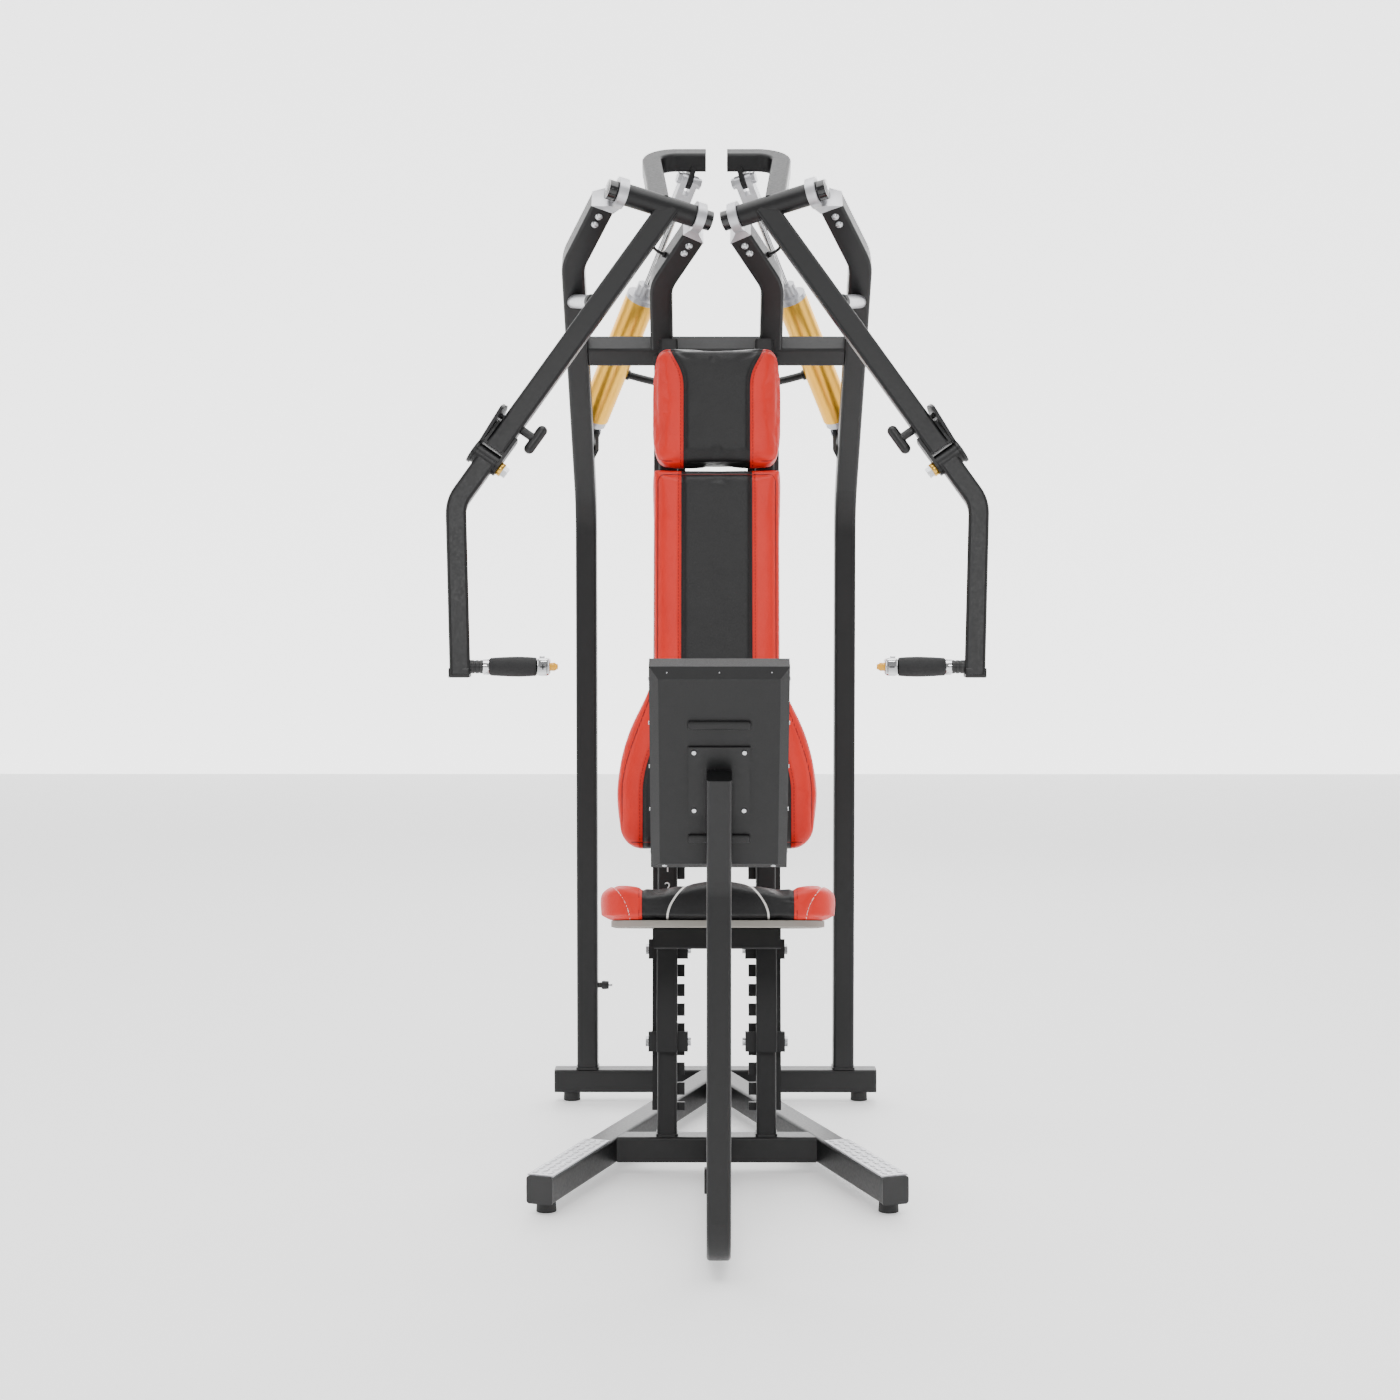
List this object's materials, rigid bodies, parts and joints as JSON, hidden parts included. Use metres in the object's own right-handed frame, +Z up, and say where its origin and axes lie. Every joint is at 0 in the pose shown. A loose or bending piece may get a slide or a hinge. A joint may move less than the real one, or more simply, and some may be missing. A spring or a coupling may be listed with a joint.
{
  "type": "chest press machine",
  "caption": "Seated chest press machine with two converging arms worked against air cylinders, a height-set seat, a reclined back pad and a display post.",
  "frame": {"origin": "on the floor under the middle of the machine, at the middle of its width and depth", "axes": "+Z up, -Y the way the seated user faces, +X to the right as seen from in front with the display nearest"},
  "size_m": [1.0064, 1.441, 1.9995],
  "materials": {
    "frame_paint": "satin charcoal powder coat",
    "tread_steel": "bright embossed tread plate",
    "cap_plastic": "moulded black end cap",
    "foot_rubber": "moulded black rubber",
    "cast_silver": "silver painted casting",
    "pivot_black": "gloss black",
    "rod_steel": "ground and polished",
    "zinc_steel": "bright zinc plated",
    "gold_aluminium": "satin gold anodised",
    "handle_chrome": "polished",
    "grip_rubber": "matte moulded grip",
    "button_yellow": "glossy yellow",
    "knob_black": "glossy black",
    "display_plastic": "fine spark texture",
    "display_screen": "dark glossy window",
    "pad_vinyl": "red and black upholstery vinyl",
    "board_wood": "painted plywood",
    "hose_rubber": "smooth black hose",
    "manifold_metal": "dark anodised"
  },
  "bodies": {
    "frame": {"air_hoses": "hose_rubber", "air_lines": "hose_rubber", "air_manifold": "manifold_metal", "back_pad": "pad_vinyl", "base_end_caps": "cap_plastic", "base_legs": "frame_paint", "bearing_blocks": "cast_silver", "bearing_inserts": "pivot_black", "cylinder_brackets": "frame_paint", "display_bezel": "display_plastic", "display_cover": "display_plastic", "display_lens": "display_screen", "display_post": "frame_paint", "frame_fasteners": "zinc_steel", "front_crossbar": "frame_paint", "guide_tubes": "frame_paint", "head_pad": "pad_vinyl", "inner_brackets": "frame_paint", "ladder_rails": "frame_paint", "pad_boards": "board_wood", "pad_brackets": "frame_paint", "rear_crossbar": "frame_paint", "rubber_feet": "foot_rubber", "stop_bumpers": "foot_rubber", "stop_rods": "cast_silver", "tread_plates": "tread_steel", "upper_crossbar": "frame_paint", "upright_left": "frame_paint", "upright_right": "frame_paint"},
    "press_arm_left": {"press_arm_left": "frame_paint", "lever_hoop_left": "frame_paint", "pivot_shaft_left": "pivot_black", "hinge_bolt_left": "zinc_steel"},
    "lower_arm_left": {"lower_arm_left": "frame_paint", "handle_core_left": "handle_chrome", "handle_grip_left": "grip_rubber"},
    "thumb_button_left": {"thumb_button_left": "button_yellow"},
    "pull_pin_left": {"pull_pin_left": "knob_black"},
    "cylinder_left": {"cylinder_tube_left": "gold_aluminium", "cylinder_caps_left": "cast_silver"},
    "rod_left": {"piston_rod_left": "rod_steel", "rod_clevis_left": "frame_paint"},
    "press_arm_right": {"press_arm_right": "frame_paint", "lever_hoop_right": "frame_paint", "pivot_shaft_right": "pivot_black", "hinge_bolt_right": "zinc_steel"},
    "lower_arm_right": {"lower_arm_right": "frame_paint", "handle_core_right": "handle_chrome", "handle_grip_right": "grip_rubber"},
    "thumb_button_right": {"thumb_button_right": "button_yellow"},
    "pull_pin_right": {"pull_pin_right": "knob_black"},
    "cylinder_right": {"cylinder_tube_right": "gold_aluminium", "cylinder_caps_right": "cast_silver"},
    "rod_right": {"piston_rod_right": "rod_steel", "rod_clevis_right": "frame_paint"},
    "seat_carriage": {"seat_frame": "frame_paint", "carriage_clamps": "frame_paint", "carriage_bolts": "zinc_steel", "seat_board": "board_wood", "seat_cushion": "pad_vinyl"}
  },
  "joints": [
    {"name": "press_left", "type": "hinge", "parent": "frame", "child": "press_arm_left", "pos_m": [-0.1095, 0.1025, 1.848], "axis": [-0.9228, -0.2998, 0.2419], "range_deg": [0, 38], "stiffness_Nm_per_rad": 30, "springref_deg": -34.38, "deforming": ["air_lines"]},
    {"name": "handle_arm_tilt_left", "type": "hinge", "parent": "press_arm_left", "child": "lower_arm_left", "pos_m": [-0.427, -0.0125, 1.3616], "axis": [0.8206, 0, -0.5715], "range_deg": [-20, 20]},
    {"name": "index_pin_left", "type": "slide", "parent": "press_arm_left", "child": "pull_pin_left", "axis": [0.8206, 0, -0.5715], "range_m": [0, 0.012], "stiffness_N_per_m": 900, "springref_m": -0.008},
    {"name": "button_left", "type": "slide", "parent": "lower_arm_left", "child": "thumb_button_left", "axis": [-1, 0, 0], "range_m": [0, 0.004], "stiffness_N_per_m": 900, "springref_m": -0.002},
    {"name": "cylinder_swing_left", "type": "hinge", "parent": "frame", "child": "cylinder_left", "pos_m": [-0.272, 0.6305, 1.457], "axis": [-0.9228, -0.2998, 0.2419], "range_deg": [-8.69, 0], "deforming": ["air_hoses"]},
    {"name": "rod_stroke_left", "type": "slide", "parent": "cylinder_left", "child": "rod_left", "axis": [0.3638, -0.4713, 0.8035], "range_m": [-0.14089, 0]},
    {"name": "press_right", "type": "hinge", "parent": "frame", "child": "press_arm_right", "pos_m": [0.1095, 0.1025, 1.848], "axis": [-0.9228, 0.2998, -0.2419], "range_deg": [0, 38], "stiffness_Nm_per_rad": 30, "springref_deg": -34.38, "deforming": ["air_lines"]},
    {"name": "handle_arm_tilt_right", "type": "hinge", "parent": "press_arm_right", "child": "lower_arm_right", "pos_m": [0.427, -0.0125, 1.3616], "axis": [-0.8206, 0, -0.5715], "range_deg": [-20, 20]},
    {"name": "index_pin_right", "type": "slide", "parent": "press_arm_right", "child": "pull_pin_right", "axis": [-0.8206, 0, -0.5715], "range_m": [0, 0.012], "stiffness_N_per_m": 900, "springref_m": -0.008},
    {"name": "button_right", "type": "slide", "parent": "lower_arm_right", "child": "thumb_button_right", "axis": [1, 0, 0], "range_m": [0, 0.004], "stiffness_N_per_m": 900, "springref_m": -0.002},
    {"name": "cylinder_swing_right", "type": "hinge", "parent": "frame", "child": "cylinder_right", "pos_m": [0.272, 0.6305, 1.457], "axis": [-0.9228, 0.2998, -0.2419], "range_deg": [-8.69, 0], "deforming": ["air_hoses"]},
    {"name": "rod_stroke_right", "type": "slide", "parent": "cylinder_right", "child": "rod_right", "axis": [-0.3638, -0.4713, 0.8035], "range_m": [-0.14089, 0]},
    {"name": "seat_height", "type": "slide", "parent": "frame", "child": "seat_carriage", "axis": [0, 0.1616, 0.9869], "range_m": [-0.114, 0.076]}
  ],
  "couplings": [
    {"joint": "cylinder_swing_left", "follows": "press_left", "ratio": -0.22745},
    {"joint": "rod_stroke_left", "follows": "press_left", "m_per_rad": -0.21199},
    {"joint": "cylinder_swing_right", "follows": "press_right", "ratio": -0.22745},
    {"joint": "rod_stroke_right", "follows": "press_right", "m_per_rad": -0.21199}
  ]
}
